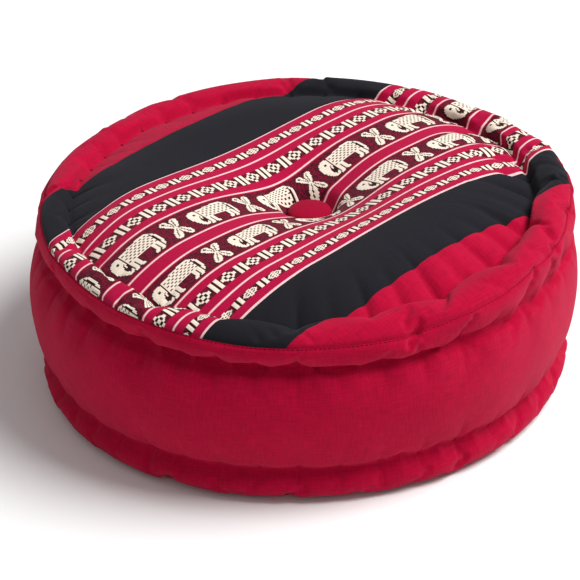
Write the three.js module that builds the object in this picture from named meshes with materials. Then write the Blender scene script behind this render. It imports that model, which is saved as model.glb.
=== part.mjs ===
// Round meditation cushion with rolled edges: a drum of cloth packed with kapok, its middle tufted
// down by a covered button. Millimetres, +Z up, origin on the floor under the middle of the cushion.
// The stripes of the top panel run along X.
import * as THREE from 'three';

// Rolled edges: oval tubes of stuffing stitched off along both rims.
const TOP_ROLL = { ring: 187.5, height: 126, halfWidth: 15.3, halfHeight: 15.5, pinch: 1.3 };
const BOTTOM_ROLL = { ring: 186.5, height: 12.6, halfWidth: 17, halfHeight: 12.6, pinch: 0.7 };

// Sewn channels beside the rolls: ring radius, height, and how far a stitch pulls the cloth there.
const TOP_CHANNEL = { ring: 175, height: 133, pull: 3 };
const UPPER_WALL_CHANNEL = { ring: 193.8, height: 112, pull: 2.4 };
const LOWER_WALL_CHANNEL = { ring: 194.3, height: 26, pull: 2.4 };
const UNDER_CHANNEL = { ring: 168, height: 4.5, pull: 2.5 };

// Side band between the wall channels: fullest a little above its middle.
const WALL = { edgeRing: 196.6, bulge: 11.8, skew: 1.15, fullness: 0.5, gap: 4.5, pull: 1.3, steps: 8 };

// Top panel: the crown, the shoulder that falls to the channel, the wide tufted funnel,
// and the narrow well that the button sinks into.
const CROWN = { height: 149.2, shoulderStart: 116.5, shoulderPower: 2 };
const FUNNEL = { depth: 22.7, spread: 48.2, power: 1.96 };
const WELL = { depth: 8.8, ring: 16.5, spread: 5.5 };
const TOP_FOLDS = { pull: 2.2, reach: 36 };

// The tuft sits a little off the middle, and the top panel leans with it.
const TUFT = { x: 4.5, y: -4.1, fadeFrom: 24, fadeTo: 150 };

// Covered button seated in the well.
const BUTTON = { radius: 17, rim: 2.4, dome: 5, seatGap: 0.35, sides: 36, domeSteps: 5 };

// Flat disc under the cushion, inside the under channel.
const BASE_FLAT_RING = 150;

// Stitches around every channel, their first angle and uneven spacing in degrees, and mesh steps
// between two stitches.
const STITCHES = 42;
const FIRST_STITCH = 0.9;
const SPACING_DRIFT = { size: 6.6, phase: 24.4 };
const STEPS_PER_STITCH = 3;
const SEGMENTS = STITCHES * STEPS_PER_STITCH;

// Hand-stuffed unevenness: slow waves around the drum, in mm and degrees.
const GIRTH_WAVES = [
  { size: 1, count: 1, phase: 223 },
  { size: 1.4, count: 2, phase: 3 },
  { size: 1.6, count: 3, phase: 257 },
  { size: 1.2, count: 4, phase: 147 },
  { size: 0.6, count: 5, phase: 179 },
];
const CROWN_WAVES = [
  { size: 1.8, count: 1, phase: 206 },
  { size: 1.5, count: 2, phase: 160 },
  { size: 1.7, count: 3, phase: 328 },
];
const ROLL_GIRTH_WAVES = [
  { size: 4.7, count: 1, phase: 111 },
  { size: 2.3, count: 2, phase: 250 },
];
const ROLL_RISE_WAVES = [
  { size: 2.2, count: 1, phase: 256 },
  { size: 1, count: 2, phase: 210 },
];
const PULL_SPREAD = 0.3;

const CLOTH = { red: 0x9e0b34, roughness: 0.9 };

const { degToRad, smoothstep } = THREE.MathUtils;

// One row of the turned outline: where it is, and how far a stitch moves it outward and upward.
function row(ring, height, pullOut = 0, pullUp = 0) {
  return { ring, height, pullOut, pullUp };
}

// Rows along a roll at the given angles, in degrees from the outward direction.
function rollRows(roll, angles) {
  return angles.map((angle) => {
    const out = Math.cos(degToRad(angle));
    const up = Math.sin(degToRad(angle));
    const ring = roll.ring + roll.halfWidth * out;
    const height = roll.height + roll.halfHeight * up;
    return row(ring, height, -roll.pinch * out, -roll.pinch * up);
  });
}

// The side band bulges between the two wall channels, and the stitches' pull fades away from them.
function wallRows() {
  const low = LOWER_WALL_CHANNEL.height + WALL.gap;
  const high = UPPER_WALL_CHANNEL.height - WALL.gap;
  const rows = [];
  for (let i = 0; i <= WALL.steps; i += 1) {
    const t = 0.5 - 0.5 * Math.cos((Math.PI * i) / WALL.steps);
    const swell = Math.max(0, Math.sin(Math.PI * t ** WALL.skew)) ** WALL.fullness;
    const fade = Math.abs(2 * t - 1) ** 3;
    rows.push(row(WALL.edgeRing + WALL.bulge * swell, low + (high - low) * t, -WALL.pull * fade));
  }
  return rows;
}

// Height of the top panel at a distance from the tuft.
function topHeight(ring) {
  const run = Math.max(0, ring - CROWN.shoulderStart) / (TOP_CHANNEL.ring - CROWN.shoulderStart);
  const shoulder = (CROWN.height - TOP_CHANNEL.height) * run ** CROWN.shoulderPower;
  const funnel = FUNNEL.depth * Math.exp(-((ring / FUNNEL.spread) ** FUNNEL.power));
  const well = WELL.depth * Math.exp(-((Math.max(0, ring - WELL.ring) / WELL.spread) ** 2));
  return CROWN.height - shoulder - funnel - well;
}

const WELL_FLOOR = topHeight(WELL.ring);

// Rows of the top panel, from the channel to the well, with folds that run in from the stitches.
function topRows(rings) {
  return rings.map((ring) => {
    const near = Math.max(0, 1 - (TOP_CHANNEL.ring - ring) / TOP_FOLDS.reach);
    return row(ring, topHeight(ring), 0, -TOP_FOLDS.pull * near ** 2);
  });
}

// The whole outline, from the middle of the underside, round the wall, to the floor of the well.
function outlineRows() {
  return [
    row(0, 0),
    row(BASE_FLAT_RING, 0),
    row(UNDER_CHANNEL.ring - 8, UNDER_CHANNEL.height * 0.55),
    row(UNDER_CHANNEL.ring, UNDER_CHANNEL.height, 0, UNDER_CHANNEL.pull),
    ...rollRows(BOTTOM_ROLL, [-140, -115, -90, -62, -32, 0, 30]),
    row(LOWER_WALL_CHANNEL.ring, LOWER_WALL_CHANNEL.height, -LOWER_WALL_CHANNEL.pull),
    ...wallRows(),
    row(UPPER_WALL_CHANNEL.ring, UPPER_WALL_CHANNEL.height, -UPPER_WALL_CHANNEL.pull),
    ...rollRows(TOP_ROLL, [-46, -16, 14, 42, 70, 98, 126]),
    row(TOP_CHANNEL.ring, TOP_CHANNEL.height, 0, -TOP_CHANNEL.pull),
    ...topRows([168, 157, 143, 125, 104, 84, 66, 50, 37, 28, 22, 19]),
    row(WELL.ring, WELL_FLOOR),
    row(0, WELL_FLOOR),
  ];
}

function waveSum(waves, angle) {
  return waves.reduce((sum, w) => sum + w.size * Math.sin(w.count * angle + degToRad(w.phase)), 0);
}

// Angle of a mesh step: even steps, shifted so that the stitches stand a little unevenly.
function stepAngle(step) {
  const even = (2 * Math.PI * step) / SEGMENTS + degToRad(FIRST_STITCH);
  return even + degToRad(SPACING_DRIFT.size) * Math.sin(even + degToRad(SPACING_DRIFT.phase));
}

// Pull of the stitch nearest to a mesh step: full on the stitch, slack between two of them.
function stitchPull(step) {
  const stitch = Math.floor(step / STEPS_PER_STITCH);
  const uneven = 1 + PULL_SPREAD * Math.sin(stitch * 2.4) * Math.cos(stitch * 0.7);
  return step % STEPS_PER_STITCH === 0 ? uneven : -0.3 * uneven;
}

// Sewn and stuffed skin of the cushion: the outline turned about Z, then pulled in at every stitch.
function cushionGeometry() {
  const rows = outlineRows();
  const geometry = new THREE.LatheGeometry(rows.map((r) => new THREE.Vector2(r.ring, r.height)), SEGMENTS);
  const position = geometry.attributes.position;
  for (let i = 0; i < position.count; i += 1) {
    const { ring, height, pullOut, pullUp } = rows[i % rows.length];
    const step = Math.floor(i / rows.length) % SEGMENTS;
    const angle = stepAngle(step);
    const pull = stitchPull(step);
    const isTop = smoothstep(height, 60, 120);
    const isTopRoll = smoothstep(ring, 174, 190) * smoothstep(height, 95, 118);
    const girth = waveSum(GIRTH_WAVES, angle) * smoothstep(ring, 90, 180);
    const rollGirth = waveSum(ROLL_GIRTH_WAVES, angle) * isTopRoll;
    const rollRise = waveSum(ROLL_RISE_WAVES, angle) * isTopRoll;
    const lean = isTop * (1 - smoothstep(ring, TUFT.fadeFrom, TUFT.fadeTo));
    const rise = waveSum(CROWN_WAVES, angle) * isTop * smoothstep(ring, 40, 110);
    const r = ring === 0 ? 0 : ring + girth + rollGirth + pullOut * pull;
    const x = r * Math.cos(angle) + TUFT.x * lean;
    const y = r * Math.sin(angle) + TUFT.y * lean;
    position.setXYZ(i, x, y, Math.max(0, height + rise + rollRise + pullUp * pull));
  }
  return geometry;
}

// Button: a flat underside, a short rim and a low dome.
function buttonGeometry() {
  const floor = WELL_FLOOR + BUTTON.seatGap;
  const outline = [new THREE.Vector2(0, floor), new THREE.Vector2(BUTTON.radius - 2, floor)];
  for (let i = 0; i <= BUTTON.domeSteps; i += 1) {
    const a = (Math.PI / 2) * (i / BUTTON.domeSteps);
    const ring = i === BUTTON.domeSteps ? 0 : BUTTON.radius * Math.cos(a);
    outline.push(new THREE.Vector2(ring, floor + BUTTON.rim + BUTTON.dome * Math.sin(a)));
  }
  const geometry = new THREE.LatheGeometry(outline, BUTTON.sides);
  geometry.rotateX(Math.PI / 2);
  return geometry;
}

function clothMesh(name, geometry) {
  const material = new THREE.MeshStandardMaterial({
    color: CLOTH.red,
    roughness: CLOTH.roughness,
    metalness: 0,
  });
  const mesh = new THREE.Mesh(geometry, material);
  mesh.name = name;
  return mesh;
}

const button = clothMesh('button', buttonGeometry());
button.position.set(TUFT.x, TUFT.y, 0);

const zafu = new THREE.Group();
zafu.add(clothMesh('cushion', cushionGeometry()));
zafu.add(button);

// The unevenness leaves the box a little off the origin, so its middle is brought back over it.
const middle = new THREE.Box3().setFromObject(zafu, true).getCenter(new THREE.Vector3());
for (const piece of zafu.children) {
  piece.position.x -= middle.x;
  piece.position.y -= middle.y;
}

export default zafu;
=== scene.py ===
# Looks of a round kapok cushion with stitched rolled rims, a tufted middle and a pieced, woven top.
# The cushion's skin is one stuffed surface, puffed and puckered by a short cloth simulation. Every
# panel of cloth is then laid on that surface in its own weaving grid. Shapes are in millimetres
# until a mesh is made.
import math

import bpy
import numpy as np
from mathutils import Matrix, Vector


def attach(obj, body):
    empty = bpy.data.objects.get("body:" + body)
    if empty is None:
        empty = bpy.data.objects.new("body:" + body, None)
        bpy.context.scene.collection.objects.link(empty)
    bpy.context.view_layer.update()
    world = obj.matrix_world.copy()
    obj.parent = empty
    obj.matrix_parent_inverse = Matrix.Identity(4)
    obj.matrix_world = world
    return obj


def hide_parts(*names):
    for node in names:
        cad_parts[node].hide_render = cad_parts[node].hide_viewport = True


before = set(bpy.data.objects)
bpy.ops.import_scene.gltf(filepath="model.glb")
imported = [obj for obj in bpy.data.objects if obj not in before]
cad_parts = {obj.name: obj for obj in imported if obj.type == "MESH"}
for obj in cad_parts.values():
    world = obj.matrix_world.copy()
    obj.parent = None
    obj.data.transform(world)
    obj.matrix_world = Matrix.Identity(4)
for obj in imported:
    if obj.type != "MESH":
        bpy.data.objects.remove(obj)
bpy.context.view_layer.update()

MM = 0.001

# Least length that is divided by.
TINY = 1e-9

# Outline of the cushion, with the sizes of its solids. Only the bottom roll is drawn in 1.7 mm more
# and the channel inside the top roll lies 1.5 mm lower, because the cloth gives way there. The rows
# of a roll run between two angles, in degrees from the outward direction.
TOP_ROLL = {"ring": 187.5, "height": 126.0, "half_width": 15.3, "half_height": 15.5,
            "start": 126, "end": -46, "rows": 12}
BOTTOM_ROLL = {"ring": 184.8, "height": 12.6, "half_width": 17.0, "half_height": 12.6,
               "start": 30, "end": -140, "rows": 11}
CHANNELS = {"top_channel": {"ring": 175.0, "height": 131.5},
            "upper_channel": {"ring": 193.8, "height": 112.0},
            "lower_channel": {"ring": 194.3, "height": 26.0},
            "under_channel": {"ring": 168.0, "height": 4.5}}
TOP_CHANNEL = CHANNELS["top_channel"]
WALL = {"edge_ring": 196.6, "bulge": 11.8, "skew": 1.15, "fullness": 0.5, "gap": 4.5,
        "rows": 21, "evenness": 0.6}
CROWN = {"height": 149.2, "shoulder_start": 116.5}
FUNNEL = {"depth": 22.7, "spread": 48.2, "power": 1.96}
WELL = {"depth": 8.8, "ring": 16.5, "spread": 5.5}
TUFT = {"x": 4.5, "y": -4.1}

# Rows of the top, the underside and the flat base. The simulation leaves the calm middle of the top
# and the base as they are.
CALM_RINGS = (0, 6, 12, 15.5, 17, 18.5, 20, 21.5, 23, 25, 27.5, 30.5, 34, 38, 42, 46, 50, 54.5,
              59, 64, 69, 74, 79, 84, 89, 94)
OPEN_TOP = {"first": 99.0, "last": 171.0, "rows": 19}
UNDER_ROWS = ((160.0, 2.4), (152.0, 0.2))
BASE_RINGS = (144, 120, 90, 60, 30, 0)

# Hand-stuffed unevenness: slow waves round the cushion, each with a size in mm, a count and a phase
# in degrees. The rings and heights after them are where they set in, and where the lean of the top
# towards its tuft fades.
GIRTH_WAVES = ((1.0, 1, 223.0), (1.4, 2, 3.0), (1.6, 3, 257.0), (1.2, 4, 147.0), (0.6, 5, 179.0))
CROWN_WAVES = ((1.8, 1, 206.0), (1.5, 2, 160.0), (1.7, 3, 328.0))
ROLL_GIRTH_WAVES = ((4.7, 1, 111.0), (2.3, 2, 250.0))
ROLL_RISE_WAVES = ((2.2, 1, 256.0), (1.0, 2, 210.0))
GIRTH_RINGS = (90, 180)
CROWN_RINGS = (40, 110)
ROLL_RINGS = (174, 190)
ROLL_HEIGHTS = (95, 118)
TOP_HEIGHTS = (60, 120)
LEAN_RINGS = (24.0, 150.0)

# Middle of the uneven shape, which is brought back over the origin.
BOX_MIDDLE = (-2.21, -0.84)

# Stitches around every channel: how many, the first one's angle, their uneven spacing, and the
# columns of points from one to the next.
STITCHES = 42
FIRST_STITCH = math.radians(0.9)
SPACING_DRIFT = {"size": math.radians(6.6), "phase": math.radians(24.4)}
COLUMNS_PER_STITCH = 8
COLUMNS = STITCHES * COLUMNS_PER_STITCH


def smoothstep(x, low, high):
    """0 up to low, 1 from high on, and a smooth rise between them."""
    t = np.clip((np.asarray(x, float) - low) / (high - low), 0, 1)
    return t * t * (3 - 2 * t)


def wave_sum(waves, angle):
    return sum(size * np.sin(count * angle + math.radians(phase)) for size, count, phase in waves)


def broad_height(ring):
    """Height of the top at a distance from the tuft, without the well: crown, shoulder and funnel."""
    ring = np.asarray(ring, float)
    start = CROWN["shoulder_start"]
    run = np.maximum(0, ring - start) / (TOP_CHANNEL["ring"] - start)
    shoulder = (CROWN["height"] - TOP_CHANNEL["height"]) * run ** 2
    funnel = FUNNEL["depth"] * np.exp(-((ring / FUNNEL["spread"]) ** FUNNEL["power"]))
    return CROWN["height"] - shoulder - funnel


def top_height(ring):
    """Height of the top at a distance from the tuft, with the narrow well round the button."""
    past_floor = np.maximum(0, np.asarray(ring, float) - WELL["ring"])
    return broad_height(ring) - WELL["depth"] * np.exp(-((past_floor / WELL["spread"]) ** 2))


def roll_rows(kind, roll):
    """Rows along a roll, from its first angle to its last."""
    rows = []
    for angle in np.radians(np.linspace(roll["start"], roll["end"], roll["rows"])):
        ring = roll["ring"] + roll["half_width"] * math.cos(angle)
        height = roll["height"] + roll["half_height"] * math.sin(angle)
        rows.append((kind, ring, height))
    return rows


def wall_rows():
    """Rows down the side band, which is fullest a little above its middle."""
    low = CHANNELS["lower_channel"]["height"] + WALL["gap"]
    high = CHANNELS["upper_channel"]["height"] - WALL["gap"]
    even = WALL["evenness"]
    rows = []
    for s in np.linspace(1, 0, WALL["rows"]):
        t = even * s + (1 - even) * (0.5 - 0.5 * math.cos(math.pi * s))
        swell = max(0.0, math.sin(math.pi * t ** WALL["skew"])) ** WALL["fullness"]
        rows.append(("wall", WALL["edge_ring"] + WALL["bulge"] * swell, low + (high - low) * t))
    return rows


def outline_rows():
    """The outline, from the middle of the top, over the rim and down to the middle of the base."""
    open_rings = np.linspace(OPEN_TOP["first"], OPEN_TOP["last"], OPEN_TOP["rows"])
    channel = {kind: (kind, *place.values()) for kind, place in CHANNELS.items()}
    return [
        *(("calm", ring, float(top_height(ring))) for ring in CALM_RINGS),
        *(("top", ring, float(top_height(ring))) for ring in open_rings),
        channel["top_channel"],
        *roll_rows("top_roll", TOP_ROLL),
        channel["upper_channel"],
        *wall_rows(),
        channel["lower_channel"],
        *roll_rows("bottom_roll", BOTTOM_ROLL),
        channel["under_channel"],
        *(("under", ring, height) for ring, height in UNDER_ROWS),
        *(("base", ring, 0.0) for ring in BASE_RINGS),
    ]


ROWS = outline_rows()
KINDS, RINGS, HEIGHTS = (np.array(values) for values in zip(*ROWS))
EVEN_ANGLES = 2 * math.pi * np.arange(COLUMNS) / COLUMNS + FIRST_STITCH
ANGLES = EVEN_ANGLES + SPACING_DRIFT["size"] * np.sin(EVEN_ANGLES + SPACING_DRIFT["phase"])
STITCH_ANGLES = ANGLES[::COLUMNS_PER_STITCH]


def first_row(kind):
    return int(np.nonzero(KINDS == kind)[0][0])


# Distance along the flat cloth from the middle of the top: the plan distance as far as the channel,
# then the length of cloth that goes over the roll and down the wall.
STEP_LENGTHS = np.hypot(np.diff(RINGS), np.diff(HEIGHTS))
CHANNEL_ROW = first_row("top_channel")
STEP_LENGTHS[:CHANNEL_ROW] = np.diff(RINGS)[:CHANNEL_ROW]
TRAVEL = np.concatenate([[0.0], np.cumsum(STEP_LENGTHS)])


def resting_skin():
    """The turned outline with its hand-stuffed unevenness, before any stitch pulls."""
    ring = RINGS[:, None]
    height = HEIGHTS[:, None]
    is_top = smoothstep(height, *TOP_HEIGHTS)
    is_roll = smoothstep(ring, *ROLL_RINGS) * smoothstep(height, *ROLL_HEIGHTS)
    girth = wave_sum(GIRTH_WAVES, ANGLES) * smoothstep(ring, *GIRTH_RINGS)
    r = ring + girth + wave_sum(ROLL_GIRTH_WAVES, ANGLES) * is_roll
    r = np.where(ring > 0, r, 0)
    lean = is_top * (1 - smoothstep(ring, *LEAN_RINGS))
    rise = wave_sum(CROWN_WAVES, ANGLES) * is_top * smoothstep(ring, *CROWN_RINGS)
    z = height + rise + wave_sum(ROLL_RISE_WAVES, ANGLES) * is_roll
    x = r * np.cos(ANGLES) + TUFT["x"] * lean
    y = r * np.sin(ANGLES) + TUFT["y"] * lean
    skin = np.stack(np.broadcast_arrays(x, y, z), -1)
    skin[..., 2] = np.maximum(0, skin[..., 2])
    return skin


# Pull of a stitch at each channel, outward and upward, in mm, and how it varies between stitches.
STITCH_PULLS = {
    "top_channel": (0.5, -8.0),
    "upper_channel": (-3.4, 0.8),
    "lower_channel": (-2.6, 0.0),
    "under_channel": (0.0, 2.0),
}
UNEVEN_PULL = {"size": 0.3, "quick_turn": 2.4, "slow_turn": 0.7}

# The rows that the simulation moves, their distance along the cloth from the nearest channel, and
# which of them are open cloth.
PUFFED = slice(first_row("top"), first_row("base"))
PUFFED_KINDS = KINDS[PUFFED]
FROM_CHANNEL = np.min([np.abs(TRAVEL[PUFFED] - TRAVEL[first_row(kind)]) for kind in CHANNELS], 0)
OPEN_CLOTH = (PUFFED_KINDS == "top") | (PUFFED_KINDS == "wall")

# How firmly the filling holds the cloth: a little beside the stitches, and more in the open cloth,
# between two distances from them. The first and last rows are held fast.
LEAST_HOLD = 0.02
OPEN_HOLD = 0.4
HOLD_DISTANCES = (12, 40)
FAST_ROWS = {"first": 3, "last": 2}

# How much of the folds fades in the open cloth, between two distances from the stitches. On the near
# side of the top they fade less and sink deeper, because the plain segment is drawn up hard there.
FOLD_FADE = {"top": 0.95, "wall": 0.9}
FADE_DISTANCES = (4, 28.0)
NEAR_SIDE = {"angle": math.radians(295), "unfaded": 0.6, "harder": 0.1}
NEAR_SIDE_COSINES = (0.1, 0.9)
NEAR_FOLDS = {"depth": 3.6, "reach": 30.0, "narrowness": 2.5}

# The simulated cloth: the share of spare length in each zone, the settings of Blender's cloth, its
# frames and those in which the stitches draw in, and how far a point may move, in mm.
SPARE_CLOTH = {"top_roll": 0.6, "bottom_roll": 0.25, "top_channel": 1.0, "upper_channel": 0.8,
               "lower_channel": 0.4, "under_channel": 0.4, "wall": 0.1, "top": 0.35}
CLOTH_SETTINGS = {
    "quality": 5,
    "mass": 0.3,
    "tension_stiffness": 15.0,
    "compression_stiffness": 15.0,
    "bending_stiffness": 7.0,
    "use_pressure": True,
    "uniform_pressure_force": 110.0,
    "pin_stiffness": 5.0,
    "shrink_min": -0.05,
    "shrink_max": 0.0,
}
FRAMES = 20
PULL_FRAMES = 10
LONGEST_SHIFT = 9.0


def near_side(angle):
    """1 in the middle of the near side, falling to 0 round the rim."""
    return smoothstep(np.cos(angle - NEAR_SIDE["angle"]), *NEAR_SIDE_COSINES)


def stitch_strength():
    """How hard each stitch of a channel pulls, about 1."""
    k = np.arange(STITCHES)
    wobble = np.sin(k * UNEVEN_PULL["quick_turn"]) * np.cos(k * UNEVEN_PULL["slow_turn"])
    return (1 + UNEVEN_PULL["size"] * wobble) * (1 + NEAR_SIDE["harder"] * near_side(STITCH_ANGLES))


def near_folds():
    """How far the near side of the top sinks into the folds that run in from the stitches, in mm."""
    inward = np.maximum(0, TRAVEL[CHANNEL_ROW] - TRAVEL[PUFFED])[:, None]
    at_stitch = 0.5 + 0.5 * np.cos(STITCHES * (EVEN_ANGLES - FIRST_STITCH))
    valley = at_stitch ** NEAR_FOLDS["narrowness"]
    strength = np.repeat(stitch_strength(), COLUMNS_PER_STITCH)
    depth = NEAR_FOLDS["depth"] * near_side(ANGLES) * strength * (valley - valley.mean())
    return depth * np.exp(-((inward / NEAR_FOLDS["reach"]) ** 2)) * (inward > 0)


def pulled_skin(rest):
    """The skin with every stitch drawn in, and a weight of 1 at each stitch."""
    pulled = rest.copy()
    stitched = np.zeros(rest.shape[:2])
    columns = np.arange(0, COLUMNS, COLUMNS_PER_STITCH)
    strength = stitch_strength()
    for kind, (outward, upward) in STITCH_PULLS.items():
        row = first_row(kind)
        pulled[row, columns, 0] += outward * strength * np.cos(STITCH_ANGLES)
        pulled[row, columns, 1] += outward * strength * np.sin(STITCH_ANGLES)
        pulled[row, columns, 2] += upward * strength
        stitched[row, columns] = 1.0
    return pulled, stitched


def quads_between(index):
    """Quads of a grid of numbered points."""
    corners = index[:-1, :-1], index[1:, :-1], index[1:, 1:], index[:-1, 1:]
    return np.stack(corners, -1).reshape(-1, 4)


def grid_faces(rows, columns, closed=False):
    """Quads of a grid that can close sideways, facing out when its rows run down the outside."""
    index = np.arange(rows * columns).reshape(rows, columns)
    return quads_between(np.concatenate([index, index[:, :1]], 1) if closed else index)


def capped(grid, middles):
    """Points and faces of a closed grid, with a fan of triangles round a middle at each end."""
    rows, columns = grid.shape[:2]
    point = np.arange(columns)
    following = np.roll(point, -1)
    last = (rows - 1) * columns
    top = [np.full_like(point, rows * columns), point, following, following]
    base = [np.full_like(point, rows * columns + 1), last + following, last + point, last + point]
    fans = np.stack([np.stack(top, -1), np.stack(base, -1)], 1).reshape(-1, 4)
    faces = np.concatenate([grid_faces(rows, columns, closed=True), fans])
    return np.concatenate([grid.reshape(-1, 3), middles]), faces


def face_corners(faces):
    """Number of corners of each quad and all their points, where a twin corner leaves a triangle."""
    twin = faces == np.roll(faces, 1, 1)
    sizes = 4 - twin.sum(1)
    return sizes, faces[~twin]


def new_mesh(name, points, faces):
    """Object with a mesh of quads, or of triangles where a corner has a twin, from points in mm."""
    sizes, corners = face_corners(faces)
    mesh = bpy.data.meshes.new(name)
    mesh.vertices.add(len(points))
    mesh.vertices.foreach_set("co", (np.asarray(points) * MM).ravel())
    mesh.loops.add(len(corners))
    mesh.loops.foreach_set("vertex_index", corners)
    mesh.polygons.add(len(sizes))
    mesh.polygons.foreach_set("loop_start", np.concatenate([[0], np.cumsum(sizes)[:-1]]))
    mesh.update(calc_edges=True)
    made = bpy.data.objects.new(name, mesh)
    bpy.context.scene.collection.objects.link(made)
    return made


def stitching_object(rest, pulled):
    """Closed mesh at rest, with a keyed shape in which the stitches draw in."""
    middles = np.array([[0.0, 0.0, rest[0, :, 2].mean()], [0.0, 0.0, 0.0]])
    puff = new_mesh("puff", *capped(rest, middles))
    puff.shape_key_add(name="rest")
    key = puff.shape_key_add(name="stitched")
    key.data.foreach_set("co", (capped(pulled, middles)[0] * MM).ravel())
    for value, at in ((0.0, 1), (1.0, PULL_FRAMES)):
        key.value = value
        key.keyframe_insert("value", frame=at)
    return puff


def add_weights(piece, name, weights):
    """Vertex group with these weights, and 1 for the middle of each end. Returns its name."""
    weights = np.concatenate([weights.ravel(), [1.0, 1.0]])
    group = piece.vertex_groups.new(name=name)
    for level in np.unique(weights):
        if level > 0:
            group.add(np.nonzero(weights == level)[0].tolist(), float(level), "REPLACE")
    return group.name


def add_cloth(puff, held, tight):
    """Blender's cloth, blown up by the filling, held at its stitches and with cloth to spare."""
    cloth = puff.modifiers.new("cloth", "CLOTH")
    for name, value in CLOTH_SETTINGS.items():
        setattr(cloth.settings, name, value)
    cloth.settings.vertex_group_mass = add_weights(puff, "held", held)
    cloth.settings.vertex_group_shrink = add_weights(puff, "tight", tight)
    cloth.settings.effector_weights.gravity = 0
    cloth.collision_settings.use_collision = False
    cloth.collision_settings.use_self_collision = False
    cloth.point_cache.frame_start = 1
    cloth.point_cache.frame_end = FRAMES


def simulate_puff(rest, pulled, held):
    """Runs the cloth while the stitches draw in. Returns the moved rows."""
    puff = stitching_object(rest, pulled)
    tight = 1 - np.array([SPARE_CLOTH.get(kind, 0.0) for kind in PUFFED_KINDS])
    add_cloth(puff, held, np.repeat(tight, COLUMNS))
    scene = bpy.context.scene
    for at in range(1, FRAMES + 1):
        scene.frame_set(at)
    moved = puff.evaluated_get(bpy.context.evaluated_depsgraph_get()).data.vertices
    found = np.empty(len(moved) * 3)
    moved.foreach_get("co", found)
    bpy.data.objects.remove(puff)
    scene.frame_set(1)
    return found[:rest.size].reshape(rest.shape) / MM


def hold_weights(stitched):
    open_hold = OPEN_HOLD * smoothstep(FROM_CHANNEL, *HOLD_DISTANCES) * OPEN_CLOTH
    held = np.maximum(stitched, np.maximum(open_hold, LEAST_HOLD)[:, None])
    held[:FAST_ROWS["first"]] = 1
    held[-FAST_ROWS["last"]:] = 1
    return held


def levelled(shift):
    """The shift of each point without the mean of its row, and not too long."""
    out = np.stack([np.cos(ANGLES), np.sin(ANGLES), np.zeros(COLUMNS)], -1)
    outward = (shift * out).sum(-1)
    shift = shift - out * outward.mean(1)[:, None, None]
    shift[..., 2] -= shift[..., 2].mean(1)[:, None]
    length = np.linalg.norm(shift, axis=-1, keepdims=True)
    return shift * np.minimum(1, LONGEST_SHIFT / np.maximum(length, TINY))


def smoothed_around(shift, reach):
    """Moving average along every row, over a number of columns either way."""
    steps = range(-reach, reach + 1)
    weights = [1 + math.cos(math.pi * step / (reach + 1)) for step in steps]
    total = sum(weight * np.roll(shift, step, 1) for step, weight in zip(steps, weights))
    return total / sum(weights)


def with_faded_folds(shift):
    """The shift of each point with the folds faded in the open cloth."""
    top_fade = FOLD_FADE["top"] - NEAR_SIDE["unfaded"] * near_side(ANGLES)
    fade = np.where(PUFFED_KINDS[:, None] == "top", top_fade, FOLD_FADE["wall"])
    fade = (smoothstep(FROM_CHANNEL, *FADE_DISTANCES) * OPEN_CLOTH)[:, None] * fade
    return shift + fade[..., None] * (smoothed_around(shift, COLUMNS_PER_STITCH // 2) - shift)


def puffed_skin():
    """The stuffed and stitched skin. Row by row, its mean outline stays that of the solids."""
    rest = resting_skin()
    pulled, stitched = pulled_skin(rest)
    moved = simulate_puff(rest[PUFFED], pulled[PUFFED], hold_weights(stitched[PUFFED]))
    shift = with_faded_folds(levelled(moved - rest[PUFFED]))
    shift[..., 2] -= near_folds()
    skin = rest.copy()
    skin[PUFFED] += shift
    skin[..., 2] = np.maximum(0, skin[..., 2])
    skin[..., :2] -= BOX_MIDDLE
    return skin


SKIN = puffed_skin()


def spline_weights(t):
    """Catmull-Rom weights of the four neighbours of a point at t between the middle two."""
    t2 = t * t
    t3 = t2 * t
    return (-t3 + 2 * t2 - t) / 2, (3 * t3 - 5 * t2 + 2) / 2, (-3 * t3 + 4 * t2 + t) / 2, (t3 - t2) / 2


def on_grid(row, column):
    """Point of the skin at fractional row and column numbers."""
    i = np.floor(row).astype(int)
    j = np.floor(column).astype(int)
    row_weights = spline_weights(row - i)
    column_weights = spline_weights(column - j)
    total = 0
    for a in range(4):
        ia = np.clip(i + a - 1, 0, len(ROWS) - 1)
        line = 0
        for b in range(4):
            line = line + column_weights[b][..., None] * SKIN[ia, (j + b - 1) % COLUMNS]
        total = total + row_weights[a][..., None] * line
    return total


ANGLE_TABLE = np.concatenate([ANGLES - 2 * math.pi, ANGLES, ANGLES + 2 * math.pi])
COLUMN_TABLE = np.arange(-COLUMNS, 2 * COLUMNS)

# Steps for measuring a normal, in mm along the cloth and in radians round it.
NORMAL_STEP = 1.0
NORMAL_TURN = NORMAL_STEP / 150.0


def skin_point(travel, angle):
    """Point of the skin at a distance along the cloth from the middle of the top, and an azimuth."""
    row = np.interp(travel, TRAVEL, np.arange(len(ROWS)))
    column = np.interp(np.mod(angle, 2 * math.pi), ANGLE_TABLE, COLUMN_TABLE)
    return on_grid(row, column)


def skin_normal(travel, angle):
    along = skin_point(travel + NORMAL_STEP, angle) - skin_point(travel - NORMAL_STEP, angle)
    around = skin_point(travel, angle + NORMAL_TURN) - skin_point(travel, angle - NORMAL_TURN)
    normal = np.cross(around, -along)
    return normal / np.maximum(np.linalg.norm(normal, axis=-1, keepdims=True), TINY)


# Seams: the top one swings up and down the outer face of the top roll, the bottom one lies under the
# bottom roll. Their angles are in degrees from the outward direction of the roll.
TOP_SEAM = {"angle": 33.0, "swing": 10.0}
BOTTOM_SEAM_ANGLE = -60.0
SEAM_CREASE = {"depth": 1.3, "width": 1.7}
PATCH_CREASE = {"depth": 0.55, "width": 1.1}


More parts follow.
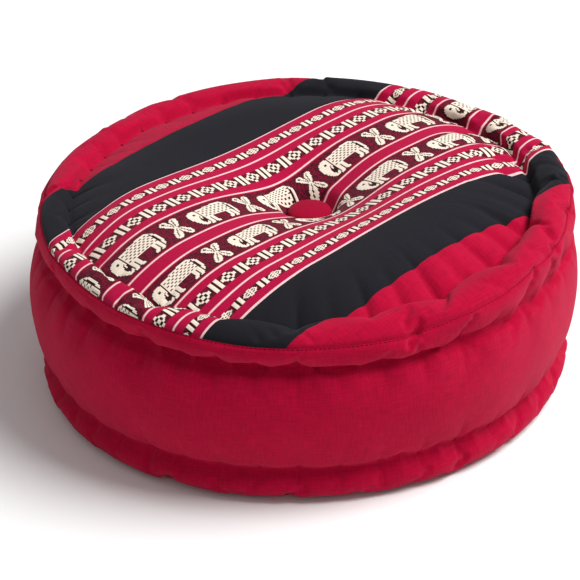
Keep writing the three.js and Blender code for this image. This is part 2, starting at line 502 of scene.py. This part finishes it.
def roll_travel(kind, roll, angle):
    """Distance along the cloth at an angle of a roll."""
    rows = np.nonzero(KINDS == kind)[0]
    place = rows[0] + (rows[-1] - rows[0]) * (roll["start"] - angle) / (roll["start"] - roll["end"])
    return np.interp(place, np.arange(len(ROWS)), TRAVEL)


def top_seam_travel(angle):
    return roll_travel("top_roll", TOP_ROLL, TOP_SEAM["angle"] + TOP_SEAM["swing"] * np.sin(angle))


BOTTOM_SEAM_TRAVEL = float(roll_travel("bottom_roll", BOTTOM_ROLL, BOTTOM_SEAM_ANGLE))


def bottom_seam_travel(angle):
    return np.full_like(angle, BOTTOM_SEAM_TRAVEL)


def crease(distance, depth, width):
    return depth * np.exp(-((distance / width) ** 2))


def creased(travel, angle, patch_distance=None):
    """Skin point with the round seams drawn in, and the patch seams where their distance is given."""
    depth = crease(travel - top_seam_travel(angle), **SEAM_CREASE)
    depth += crease(travel - BOTTOM_SEAM_TRAVEL, **SEAM_CREASE)
    if patch_distance is not None:
        depth += crease(patch_distance, **PATCH_CREASE)
    return skin_point(travel, angle) - skin_normal(travel, angle) * depth[..., None]


# Flat cloth of the top: s runs along the stripes, c across them and towards the near side. The button
# draws the cloth in, so it lies closer there than in plan, the cloth has slipped a little under it,
# and the top is sewn in a little turned.
PATCH_SEAMS = {"back_red": -146.0, "back_black": -86.1, "front_black": 90.9, "front_red": 143.5}
CLOTH_TURN = -0.012
DRAWN_IN = 0.26
CLOTH_IN_WELL = 4.4
CLOTH_IN_WELL_RINGS = (22, 34)
SLIP = {"s": -0.2, "c": 5.7, "reach": 82.0}

# Distances in plan for which the length of cloth is worked out, rounds in which the lean of a point
# settles, and the longest line over the top, with how often it is halved to find its end.
PLAN_STEPS = np.linspace(0, TOP_CHANNEL["ring"], 351)
LEAN_ROUNDS = 4
LONGEST_LINE = 280.0
HALVINGS = 24


def cloth_lengths():
    """Length of cloth from the button to each distance in plan."""
    slopes = np.gradient(broad_height(PLAN_STEPS), PLAN_STEPS)
    stretch = np.sqrt(1 + DRAWN_IN * slopes ** 2)
    lengths = np.concatenate([[0], np.cumsum((stretch[1:] + stretch[:-1]) / 2 * np.diff(PLAN_STEPS))])
    return lengths + CLOTH_IN_WELL * smoothstep(PLAN_STEPS, *CLOTH_IN_WELL_RINGS)


CLOTH_LENGTHS = cloth_lengths()


def flat_to_skin(s, c):
    """Distance along the cloth and azimuth of a point of the flat top."""
    slip = np.exp(-(s * s + c * c) / SLIP["reach"] ** 2)
    s = s - SLIP["s"] * slip
    c = c - SLIP["c"] * slip
    turned_x = s * math.cos(CLOTH_TURN) - c * math.sin(CLOTH_TURN)
    turned_y = -(s * math.sin(CLOTH_TURN) + c * math.cos(CLOTH_TURN))
    flat = np.hypot(turned_x, turned_y)
    plan = np.interp(flat, CLOTH_LENGTHS, PLAN_STEPS) + np.maximum(0, flat - CLOTH_LENGTHS[-1])
    share = plan / np.maximum(flat, TINY)
    x = TUFT["x"] + turned_x * share
    y = TUFT["y"] + turned_y * share
    travel = np.hypot(x, y)
    for _ in range(LEAN_ROUNDS):
        lean = 1 - smoothstep(travel, *LEAN_RINGS)
        from_tuft_x = x - TUFT["x"] * lean
        from_tuft_y = y - TUFT["y"] * lean
        travel = np.hypot(from_tuft_x, from_tuft_y)
    return travel, np.arctan2(from_tuft_y, from_tuft_x)


def reach_of_top(s_step, c_step, c_start=0.0):
    """How far a straight line over the flat top runs before it meets the round seam."""
    near = np.zeros(np.broadcast(s_step, c_step, c_start).shape)
    far = np.full_like(near, LONGEST_LINE)
    for _ in range(HALVINGS):
        middle = (near + far) / 2
        travel, angle = flat_to_skin(middle * s_step, c_start + middle * c_step)
        inside = travel < top_seam_travel(angle)
        near = np.where(inside, middle, near)
        far = np.where(inside, far, middle)
    return near


def seam_reach(c, side):
    """How far along the stripes the top reaches at a distance across them, towards one end."""
    return side * reach_of_top(side, 0.0, c)


def new_piece(name, points, faces, flat, material, flat_faces=None):
    """Piece of the part, with flat cloth coordinates in mm as its UV map."""
    piece = new_mesh(name, points, faces)
    mesh = piece.data
    mesh.polygons.foreach_set("use_smooth", np.ones(len(mesh.polygons), bool))
    flat_corners = face_corners(faces if flat_faces is None else flat_faces)[1]
    mesh.uv_layers.new(name="cloth").data.foreach_set("uv", flat[flat_corners].ravel())
    mesh.materials.append(MATERIALS[material])
    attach(piece, "root")
    return piece


def strip_grid(c_rows, s_columns):
    """Weaving grid of a strip, cut off at the round seam: flat points, faces and each face's cell."""
    low = seam_reach(c_rows, -1)
    high = seam_reach(c_rows, 1)
    first = np.searchsorted(s_columns, low, "right") - 1
    last = np.searchsorted(s_columns, high, "left")
    columns = np.arange(len(s_columns))
    drawn_in = np.clip(columns[None], first[:, None], last[:, None])
    s = np.clip(s_columns[None], low[:, None], high[:, None])
    quads = quads_between(drawn_in + np.arange(len(c_rows))[:, None] * len(s_columns))
    cells = np.indices((len(c_rows) - 1, len(s_columns) - 1)).reshape(2, -1).T
    has_width = (quads[:, 0] != quads[:, 3]) | (quads[:, 1] != quads[:, 2])
    used, quads = np.unique(quads[has_width], return_inverse=True)
    flat = np.stack([s, np.broadcast_to(c_rows[:, None], s.shape)], -1).reshape(-1, 2)[used]
    return flat, quads.reshape(-1, 4), cells[has_width]


def laid_on_skin(flat, low_seam, high_seam, rise=0.0):
    """Points of a strip between two patch seams, which can stand a little above the skin."""
    travel, angle = flat_to_skin(flat[:, 0], flat[:, 1])
    to_seam = np.minimum(*(np.abs(flat[:, 1] - PATCH_SEAMS[seam]) for seam in (low_seam, high_seam)))
    return creased(travel, angle, to_seam) + skin_normal(travel, angle) * np.reshape(rise, (-1, 1))


# Grid of a plain strip: its rows close together beside a seam, then its even step, and its length to
# either side of the middle.
EDGE_ROWS = np.array([0.0, 0.7, 1.4, 2.2, 3.2])
EVEN_FROM = 4.5
PLAIN_STEP = 1.6
PLAIN_HALF_LENGTH = 240.0


def plain_strip(name, low_seam, high_seam):
    """Plain black strip between two straight seams, with closer rows beside them."""
    low = PATCH_SEAMS[low_seam]
    high = PATCH_SEAMS[high_seam]
    gaps = round((high - low - 2 * EVEN_FROM) / PLAIN_STEP)
    middle = np.linspace(low + EVEN_FROM, high - EVEN_FROM, gaps + 1)
    c_rows = np.concatenate([low + EDGE_ROWS, middle, high - EDGE_ROWS[::-1]])
    s_columns = np.arange(-PLAIN_HALF_LENGTH, PLAIN_HALF_LENGTH + PLAIN_STEP / 2, PLAIN_STEP)
    flat, faces, _ = strip_grid(c_rows, s_columns)
    return new_piece(name, laid_on_skin(flat, low_seam, high_seam), faces, flat, "black_cotton")


# Grid of an end segment: its rows as shares of the way from the seam to the rim, a few of them close
# to the seam, its columns, and the least way between seam and rim in mm.
SEGMENT = {"edge_shares": (0.0, 0.01, 0.02, 0.035, 0.055), "even_from": 0.08, "even_rows": 44,
           "columns": 211, "least_way": 0.05}


def end_segment(name, seam):
    """Plain red segment between a straight seam and the rim."""
    c0 = PATCH_SEAMS[seam]
    ends = [float(seam_reach(np.array([c0]), side)[0]) for side in (-1, 1)]
    even = np.linspace(SEGMENT["even_from"], 1, SEGMENT["even_rows"])
    across = np.concatenate([SEGMENT["edge_shares"], even])[:, None]
    turn = 0.5 - 0.5 * np.cos(np.linspace(0, math.pi, SEGMENT["columns"]))
    along_seam = ends[0] + (ends[1] - ends[0]) * turn
    seam_length = np.hypot(along_seam, c0)
    s_step = along_seam / seam_length
    c_step = c0 / seam_length
    rim_length = np.maximum(reach_of_top(s_step, c_step), seam_length + SEGMENT["least_way"])
    reach = seam_length + (rim_length - seam_length) * across
    s = reach * s_step
    c = reach * c_step
    points = creased(*flat_to_skin(s, c), np.abs(c - c0)).reshape(-1, 3)
    faces = grid_faces(*reach.shape)
    if c0 < 0:
        faces = faces[:, ::-1]
    return new_piece(name, points, faces, np.stack([s, c], -1).reshape(-1, 2), "red_cotton")


# Radius at which the cloth round the wall is laid out flat.
BAND_RADIUS = 200.0


def ring_panel(name, seam_travel, last_travel, rows, columns):
    """Red cloth that goes all the way round, from a round seam to a distance along the outline."""
    angles = 2 * math.pi * np.arange(columns + 1) / columns
    share = np.linspace(0, 1, rows)[:, None]
    start = seam_travel(angles)
    travel = start + (last_travel - start) * share
    angle = np.broadcast_to(angles, travel.shape)
    points = creased(travel[:, :-1], angle[:, :-1]).reshape(-1, 3)
    flat = np.stack([angle * BAND_RADIUS, travel], -1).reshape(-1, 2)
    return new_piece(name, points, grid_faces(rows, columns, closed=True), flat, "red_cotton",
                     flat_faces=grid_faces(rows, columns + 1))


# The woven band: places of the cream lines across it, and the rows of weaving between them, each with
# its kind, its number of threads, and where its repeat starts along the stripes.
BAND_LINES = (-85.4, -61.3, -33.1, 1.9, 14.8, 44.2, 69.3, 90.2)
LINE_WIDTH = 1.6
BAND_ROWS = (
    ("small", 21, 12),
    ("medium", 25, 11),
    ("animals", 30, 22),
    ("plain", 11, 0),
    ("animals", 30, 22),
    ("medium", 25, 12),
    ("small", 21, 12),
)

# Threads that cross the band: how far apart, and how many to either side of its middle.
THREAD_STEP = 0.9964
BAND_HALF_LENGTH = 226

# What a thread shows: the red or dark ground, or the cream figure thread over it.
RED, CREAM, DARK, MAROON, LINE = range(5)

# Ground of each kind of row, and the red threads left beside its cream lines.
BAND_GROUNDS = {"small": (MAROON, 7), "medium": (MAROON, 7), "animals": (MAROON, 1)}

# Charts of the figures: # is cream, o a dark thread, * cream with small staggered dark dots.
ELEPHANT = """
...........................##########.....
...................########**********#....
....#####..########*******************#...
..########o#**************************o#..
.#########o#**************************o##.
.#########o#**************************o##.
#####oo###o#**************************oo##
#####oo###o#**************************oo##
##########o#**************************oo##
##########o#**************************oo##
########o#o#**************************oo##
#######o##o#**************************oo##
#######o#oo#**************************oo##
.#####oo#oo#******#############*******oo##
.#####ooooo#######.............#######oo##
.#####oooo.###o###.............###o###o###
..####oooo.###o###.............###o###o##.
..####oooo.###o###.............###o###o##.
...####oo#.###o###.............###o###.##.
...####o##.###o###.............###o###.#..
....######.###o###............####.###....
.....####.####.####..........####..###....
..........###...###..........###..###.....
"""

CROSSED_LEAVES = """
..####.....####.
.##o###...##o###
##ooo##..##o####
###o###..##o###.
.###o###.##o###.
..###o##.#o####.
..####o#.#o###..
...###o#.#o##...
....###o#o###...
.....##o#o##....
......####......
......####......
.....##o#o##....
....##o###o##...
...###o#.#o###..
..###o##.##o##..
..##o###.##o###.
.###o###.###o###
.##o####..##o###
###o###...##oo##
##o####....##o##
######.....#####
.####.......###.
"""

CHEQUERED_DIAMOND = """
.....###.......###..###.
.....###.......###..###.
...##ooo##.....###..###.
..###ooo###....###..###.
###oo###oo###..###..###.
###oo###oo###..###..###.
###oo###oo###..###..###.
..###ooo###....###..###.
...##ooo##.....###..###.
.....###.......###..###.
.....###.......###..###.
"""

PIERCED_EYE = """
.....###.......###..###.
..####o####....###..###.
.##oo###oo##...###..###.
##o###o###o##..###..###.
.##oo###oo##...###..###.
..####o####....###..###.
.....###.......###..###.
"""

# Repeat of each kind of row: its length in threads, and the charts in it with their first threads.
BAND_REPEATS = {
    "animals": (72, ((CROSSED_LEAVES, 1, 4), (ELEPHANT, 24, 4))),
    "medium": (24, ((CHEQUERED_DIAMOND, 0, 7),)),
    "small": (24, ((PIERCED_EYE, 0, 7),)),
}


def dotted(across, along):
    """Whether a place in a dotted field is dark: rows of dots two threads wide, staggered in turn."""
    return across % 2 == 0 and (along + across // 2 % 2 * 2) % 4 < 2


def lay_chart(cells, chart, first_along, first_across):
    """Weaves a chart into the cells of a row."""
    for across, line in enumerate(chart.split()):
        for along, sign in enumerate(line):
            if sign == ".":
                continue
            dark = sign == "o" or (sign == "*" and dotted(across, along))
            cells[first_across + across, first_along + along] = DARK if dark else CREAM


def woven_row(kind, threads):
    """One repeat of a row of weaving: threads across by threads along."""
    if kind == "plain":
        return np.full((threads, 1), RED)
    length, charts = BAND_REPEATS[kind]
    ground, edge = BAND_GROUNDS[kind]
    cells = np.full((threads, length), RED)
    cells[edge:threads - edge] = ground
    for chart, first_along, first_across in charts:
        lay_chart(cells, chart, first_along, first_across)
    cream = cells == CREAM
    beside_cream = np.roll(cream, 1, 1) | np.roll(cream, -1, 1)
    cells[beside_cream & (cells == ground)] = DARK
    return cells


def band_weave(columns):
    """Thread rows of the whole band: their borders across it in mm, and what each cell shows."""
    half = LINE_WIDTH / 2
    borders = [BAND_LINES[0] - half, BAND_LINES[0] + half]
    shows = [np.full((1, columns), LINE)]
    for (kind, threads, start), line in zip(BAND_ROWS, BAND_LINES[1:]):
        borders += np.linspace(borders[-1], line - half, threads + 1)[1:].tolist()
        repeat = woven_row(kind, threads)
        shows.append(repeat[:, (np.arange(columns) - start) % repeat.shape[1]])
        borders.append(line + half)
        shows.append(np.full((1, columns), LINE))
    return np.array(borders), np.concatenate(shows)


# How far the cream threads stand above the ground, in mm.
FIGURE_RISE = 0.28


def woven_band():
    """The patterned strip: one small face for each thread crossing, coloured by its yarn."""
    s_columns = np.arange(-BAND_HALF_LENGTH, BAND_HALF_LENGTH + 1) * THREAD_STEP
    c_rows, shows = band_weave(len(s_columns) - 1)
    flat, faces, cells = strip_grid(c_rows, s_columns)
    yarn = shows[cells[:, 0], cells[:, 1]]
    raised = np.repeat((yarn == CREAM) | (yarn == LINE), 4).astype(float)
    figured = np.bincount(faces.ravel(), raised) / np.bincount(faces.ravel())
    points = laid_on_skin(flat, "back_black", "front_black", FIGURE_RISE * figured)
    piece = new_piece("woven_band", points, faces, flat, "figured_cotton")
    paint_yarns(piece, faces, yarn)
    return piece


# The yarns, in the order of their numbers: their colour, and how far its brightness varies. Red flecks
# show through a share of the maroon threads, less bright than the red yarn.
YARNS = {
    RED: ((0.37, 0.003, 0.042), 0.10),
    CREAM: ((0.78, 0.67, 0.56), 0.07),
    DARK: ((0.030, 0.005, 0.009), 0.25),
    MAROON: ((0.080, 0.006, 0.016), 0.45),
    LINE: ((0.78, 0.50, 0.50), 0.06),
}
FLECKS = {"share": 0.22, "brightness": 0.55}
YARN_SEED = 7


def paint_yarns(piece, faces, yarn):
    """Colours each thread crossing, with the slight unevenness of dyed yarn."""
    random = np.random.default_rng(YARN_SEED)
    table, spread = (np.array(column) for column in zip(*YARNS.values()))
    level = 1 + spread[yarn] * (2 * random.random(len(yarn)) - 1)
    colours = table[yarn] * level[:, None]
    flecks = (yarn == MAROON) & (random.random(len(yarn)) < FLECKS["share"])
    colours[flecks] = table[RED] * FLECKS["brightness"]
    sizes, _ = face_corners(faces)
    colours = np.concatenate([np.repeat(colours, sizes, axis=0), np.ones((sizes.sum(), 1))], 1)
    layer = piece.data.color_attributes.new("yarn", "FLOAT_COLOR", "CORNER")
    layer.data.foreach_set("color", colours.ravel())


# The cloths: their colour, the distance between threads in mm, how strong their slubs, fading and relief
# are, and how they shine. The figured cloth takes its colour from its yarns.
CLOTHS = {
    "red_cotton": {"colour": (0.41, 0.0015, 0.030), "pitch": 0.6, "slub": 0.60, "fading": 0.30,
                   "relief": 0.7, "roughness": 0.85, "sheen": 0.12, "sheen_tint": (1.0, 0.4, 0.55)},
    "black_cotton": {"colour": (0.012, 0.0115, 0.015), "pitch": 0.6, "slub": 0.25, "fading": 0.15,
                     "relief": 0.5, "roughness": 0.85, "sheen": 0.05, "sheen_tint": (0.8, 0.85, 1.0)},
    "figured_cotton": {"colour": None, "pitch": 0.5, "slub": 0.08, "fading": 0.06,
                       "relief": 0.35, "roughness": 0.85, "sheen": 0.08,
                       "sheen_tint": (1.0, 0.75, 0.75)},
    "button_cotton": {"colour": (0.30, 0.0015, 0.024), "pitch": 0.6, "slub": 0.10, "fading": 0.10,
                      "relief": 0.5, "roughness": 0.85, "sheen": 0.06, "sheen_tint": (1.0, 0.45, 0.6)},
    "red_thread": {"colour": (0.07, 0.002, 0.008), "pitch": 0.4, "slub": 0.10, "fading": 0.10,
                   "relief": 0.3, "roughness": 0.8, "sheen": 0.02, "sheen_tint": (1.0, 0.5, 0.6)},
}
SPECULAR_LEVEL = 0.05
SHEEN_ROUGHNESS = 0.5

# Noise of the slubs, per thread along and across them, and of the fading, per mm.
SLUB_NOISE = {"along": 0.05, "across": 0.6, "detail": 2.0}
FADING_NOISE = {"scale": 0.03, "detail": 3.0}

# Relief of the cloth: its depth in threads, and how much the slubs count in it beside the weave.
RELIEF = {"depth": 0.3, "slubs": 1.6}


def fill_inputs(node, inputs):
    """Sets inputs of a node, given by name or number, to values or to outputs of other nodes."""
    for place, value in inputs.items():
        if isinstance(value, bpy.types.NodeSocket):
            node.id_data.links.new(value, node.inputs[place])
        else:
            node.inputs[place].default_value = value


def add_node(tree, kind, inputs, **settings):
    node = tree.nodes.new(kind)
    for name, value in settings.items():
        setattr(node, name, value)
    fill_inputs(node, inputs)
    return node


def math_node(tree, operation, *operands):
    """Output of a math node whose operands are numbers or outputs."""
    return add_node(tree, "ShaderNodeMath", dict(enumerate(operands)), operation=operation).outputs[0]


def cloth_noise(tree, flat, along, across, detail):
    """Noise over the flat cloth, with a scale along it and one across it."""
    mapping = add_node(tree, "ShaderNodeMapping", {"Vector": flat, "Scale": (along, across, 1)})
    inputs = {"Vector": mapping.outputs[0], "Scale": 1.0, "Detail": detail}
    return add_node(tree, "ShaderNodeTexNoise", inputs).outputs["Fac"]


def plain_weave(tree, flat, pitch):
    """Height of a plain weave whose threads lie the pitch apart."""
    split = add_node(tree, "ShaderNodeSeparateXYZ", {0: flat})
    waves = [math_node(tree, "COSINE", math_node(tree, "MULTIPLY", place, math.pi / pitch))
             for place in split.outputs[:2]]
    return math_node(tree, "ABSOLUTE", math_node(tree, "MULTIPLY", *waves))


def slubbed_threads(tree, flat, pitch):
    """Thick and thin places of the threads that run either way."""
    along = SLUB_NOISE["along"] / pitch
    across = SLUB_NOISE["across"] / pitch
    one_way = cloth_noise(tree, flat, along, across, SLUB_NOISE["detail"])
    other_way = cloth_noise(tree, flat, across, along, SLUB_NOISE["detail"])
    return math_node(tree, "ADD", one_way, other_way)


def shaded_colour(tree, flat, slubs, cloth):
    """Colour of the cloth or of its yarns, uneven with its slubs and slightly faded in places."""
    scale = FADING_NOISE["scale"]
    broad = cloth_noise(tree, flat, scale, scale, FADING_NOISE["detail"])
    level = math_node(tree, "MULTIPLY_ADD", slubs, cloth["slub"], 1 - cloth["slub"])
    fade = math_node(tree, "MULTIPLY_ADD", broad, cloth["fading"], 1 - cloth["fading"] / 2)
    colour = cloth["colour"]
    if colour is None:
        colour = add_node(tree, "ShaderNodeVertexColor", {}, layer_name="yarn").outputs["Color"]
    inputs = {0: colour, "Scale": math_node(tree, "MULTIPLY", level, fade)}
    return add_node(tree, "ShaderNodeVectorMath", inputs, operation="SCALE").outputs[0]


def cloth_material(name):
    cloth = CLOTHS[name]
    material = bpy.data.materials.new(name)
    material.use_nodes = True
    tree = material.node_tree
    flat = add_node(tree, "ShaderNodeUVMap", {}, uv_map="cloth").outputs[0]
    slubs = slubbed_threads(tree, flat, cloth["pitch"])
    weave = plain_weave(tree, flat, cloth["pitch"])
    bump = add_node(tree, "ShaderNodeBump", {
        "Height": math_node(tree, "ADD", weave, math_node(tree, "MULTIPLY", slubs, RELIEF["slubs"])),
        "Strength": cloth["relief"],
        "Distance": RELIEF["depth"] * cloth["pitch"] * MM,
    })
    fill_inputs(tree.nodes["Principled BSDF"], {
        "Base Color": shaded_colour(tree, flat, slubs, cloth),
        "Normal": bump.outputs[0],
        "Roughness": cloth["roughness"],
        "Specular IOR Level": SPECULAR_LEVEL,
        "Sheen Weight": cloth["sheen"],
        "Sheen Roughness": SHEEN_ROUGHNESS,
        "Sheen Tint": (*cloth["sheen_tint"], 1),
    })
    return material


MATERIALS = {name: cloth_material(name) for name in CLOTHS}

# The base panel ends just short of the point in which its columns would meet.
BASE_MIDDLE_TRAVEL = TRAVEL[-1] - 0.01


def make_panels():
    """The pieces of cloth that the cover is sewn from."""
    panels = [
        woven_band(),
        plain_strip("black_strip_back", "back_red", "back_black"),
        plain_strip("black_strip_front", "front_black", "front_red"),
        end_segment("red_segment_back", "back_red"),
        end_segment("red_segment_front", "front_red"),
        ring_panel("side_band", top_seam_travel, BOTTOM_SEAM_TRAVEL, 84, 840),
        ring_panel("base_panel", bottom_seam_travel, BASE_MIDDLE_TRAVEL, 60, 420),
    ]
    for panel in panels:
        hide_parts("cushion")


# The covered button: its size, its rows and sides, and the gathers of its cloth. Its rim and back are
# given as shares of the radius, with their heights.
BUTTON = {"radius": 17.0, "seat_gap": 0.35, "rim": 2.4, "dome": 5.0, "roundness": 2.3,
          "dome_rows": 14, "sides": 96}
GATHERS = {"count": 17, "swell": 5, "depth": 0.35}
GATHER_SHARES = (0.75, 1.0)
BUTTON_BACK = ((1.0, 1.5), (0.985, 0.8), (0.94, 0.3), (0.86, 0.0))


def button_points():
    """Rows of the button's cover, from the top of its dome to its back, and the middles of both."""
    back_shares, back_heights = zip(*BUTTON_BACK)
    dome_shares = np.linspace(0, 1, BUTTON["dome_rows"] + 1)[1:]
    dome = np.sqrt(np.maximum(0, 1 - dome_shares ** BUTTON["roundness"]))
    shares = np.concatenate([dome_shares, back_shares])[:, None]
    heights = np.concatenate([BUTTON["rim"] + BUTTON["dome"] * dome, back_heights])[:, None]
    angles = 2 * math.pi * np.arange(BUTTON["sides"]) / BUTTON["sides"]
    gather = 1 + np.sin(GATHERS["count"] * angles) * np.sin(GATHERS["swell"] * angles + 1)
    edge = smoothstep(shares, *GATHER_SHARES)
    ring = BUTTON["radius"] * shares - GATHERS["depth"] * edge * gather
    middle = (TUFT["x"] - BOX_MIDDLE[0], TUFT["y"] - BOX_MIDDLE[1])
    floor = float(top_height(WELL["ring"])) + BUTTON["seat_gap"]
    x = middle[0] + ring * np.cos(angles)
    y = middle[1] + ring * np.sin(angles)
    points = np.stack([x, y, np.broadcast_to(floor + heights, x.shape)], -1)
    middles = [(*middle, floor + height) for height in (BUTTON["rim"] + BUTTON["dome"], 0.0)]
    return points, middles


def make_button():
    """Cloth-covered button: a shallow dome whose cloth is gathered over the edge, and a flat back."""
    points, faces = capped(*button_points())
    button = new_piece("button_cover", points, faces, points[:, :2], "button_cotton")
    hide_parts("button")


# A stitch is a thread of rings: each one's share of its length, its width, and how far its middle is
# lifted off the cloth, both in thicknesses of the thread.
THREAD_SIDES = 6
THREAD_SHAPE = ((0.0, 0.2, -0.2), (0.15, 0.85, 0.35), (0.5, 1.0, 0.8), (0.85, 0.85, 0.35),
                (1.0, 0.2, -0.2))
SEAM_STITCHES = {"count": 400, "length": 2.4, "beside": 0.9, "thickness": 0.45}
CHANNEL_STITCHES = {"reach": 1.8, "thickness": 0.7}


def make_stitches(name, starts, ends, normals, thickness, material):
    """Sewn stitches: short threads that come up out of the cloth and go down again."""
    along = ends - starts
    along /= np.linalg.norm(along, axis=-1, keepdims=True)
    aside = np.cross(normals, along)
    rings = []
    for share, width, lift in THREAD_SHAPE:
        middle = starts + (ends - starts) * share + normals * lift * thickness
        for k in range(THREAD_SIDES):
            turn = 2 * math.pi * k / THREAD_SIDES
            round_it = aside * math.cos(turn) + normals * math.sin(turn)
            rings.append(middle + round_it * width * thickness / 2)
    points = np.stack(rings, 1)
    count = points.shape[1]
    faces = grid_faces(len(THREAD_SHAPE), THREAD_SIDES, closed=True)[:, ::-1]
    faces = (faces[None] + (np.arange(len(starts)) * count)[:, None, None]).reshape(-1, 4)
    points = points.reshape(-1, 3)
    piece = new_piece(name, points, faces, points[:, :2], material)
    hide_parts("cushion")


def make_seam_stitches():
    """The row of stitches beside the top round seam."""
    starts = 2 * math.pi * np.arange(SEAM_STITCHES["count"]) / SEAM_STITCHES["count"]
    ends = starts + SEAM_STITCHES["length"] / BAND_RADIUS
    start_travel = top_seam_travel(starts) + SEAM_STITCHES["beside"]
    end_travel = top_seam_travel(ends) + SEAM_STITCHES["beside"]
    make_stitches("seam_stitches", creased(start_travel, starts), creased(end_travel, ends),
                  skin_normal(start_travel, starts), SEAM_STITCHES["thickness"], "red_thread")


def make_channel_stitches(name, kinds, material):
    """The strong threads that hold the rolled edges, one across the groove at each pull."""
    travel = np.repeat([TRAVEL[first_row(kind)] for kind in kinds], STITCHES)
    angles = np.tile(STITCH_ANGLES, len(kinds))
    ends = [skin_point(travel + side * CHANNEL_STITCHES["reach"], angles) for side in (-1, 1)]
    make_stitches(name, *ends, skin_normal(travel, angles), CHANNEL_STITCHES["thickness"], material)


# The plain pale floor: its width in metres, its colour and its roughness.
FLOOR = {"width": 12.0, "colour": (0.86, 0.86, 0.86, 1), "roughness": 0.9}


def make_floor():
    bpy.ops.mesh.primitive_plane_add(size=FLOOR["width"])
    floor = bpy.context.object
    floor.name = "floor"
    material = bpy.data.materials.new("floor")
    material.use_nodes = True
    shader = material.node_tree.nodes["Principled BSDF"]
    fill_inputs(shader, {"Base Color": FLOOR["colour"], "Roughness": FLOOR["roughness"]})
    floor.data.materials.append(material)


# The photograph's view: azimuth and height of the camera over the cushion, and its lens. Its places and
# the key light's are in metres.
VIEW = {"azimuth": math.radians(-42.3), "elevation": math.radians(30.86), "roll": math.radians(-1.42),
        "distance": 2.0, "aim": (0.003, 0.0, 0.075)}
LENS = {"lens": 163.85, "sensor_width": 36, "shift_x": -0.0249, "shift_y": -0.0391}


def direction_from(azimuth, elevation):
    """Direction towards a place at an azimuth and height, where azimuth 0 is the near side."""
    return Vector((math.sin(azimuth) * math.cos(elevation), -math.cos(azimuth) * math.cos(elevation),
                   math.sin(elevation)))


def make_camera():
    back = direction_from(VIEW["azimuth"], VIEW["elevation"])
    level_right = Vector((math.cos(VIEW["azimuth"]), math.sin(VIEW["azimuth"]), 0))
    level_up = back.cross(level_right)
    right = level_right * math.cos(VIEW["roll"]) + level_up * math.sin(VIEW["roll"])
    up = back.cross(right)
    place = Vector(VIEW["aim"]) + back * VIEW["distance"]
    camera = bpy.data.objects.new("camera", bpy.data.cameras.new("camera"))
    camera.matrix_world = Matrix.Translation(place) @ Matrix((right, up, back)).transposed().to_4x4()
    for name, value in LENS.items():
        setattr(camera.data, name, value)
    bpy.context.scene.collection.objects.link(camera)
    bpy.context.scene.camera = camera


# The key light, a large soft one to the right of the camera's line of sight, and the light of the room.
KEY = {"turn": math.radians(90), "elevation": math.radians(55), "distance": 4.0, "aim": (0, 0, 0.08),
       "size": 2.7, "energy": 224.0}
ROOM_LIGHT = {"colour": (1, 1, 1, 1), "strength": 0.39}


def make_key_light():
    direction = direction_from(VIEW["azimuth"] + KEY["turn"], KEY["elevation"])
    light = bpy.data.lights.new("key", "AREA")
    light.shape = "DISK"
    light.size = KEY["size"]
    light.energy = KEY["energy"]
    key = bpy.data.objects.new("key", light)
    key.location = direction * KEY["distance"] + Vector(KEY["aim"])
    key.rotation_mode = "QUATERNION"
    key.rotation_quaternion = direction.to_track_quat("Z", "Y")
    bpy.context.scene.collection.objects.link(key)


def make_room():
    world = bpy.data.worlds.new("room")
    world.use_nodes = True
    background = world.node_tree.nodes["Background"]
    fill_inputs(background, {"Color": ROOM_LIGHT["colour"], "Strength": ROOM_LIGHT["strength"]})
    bpy.context.scene.world = world
    bpy.context.scene.view_settings.view_transform = "Standard"


make_panels()
make_button()
make_seam_stitches()
make_channel_stitches("top_channel_stitches", ("top_channel",), "black_cotton")
make_channel_stitches("wall_channel_stitches", ("upper_channel", "lower_channel"), "red_cotton")
make_floor()
make_camera()
make_key_light()
make_room()
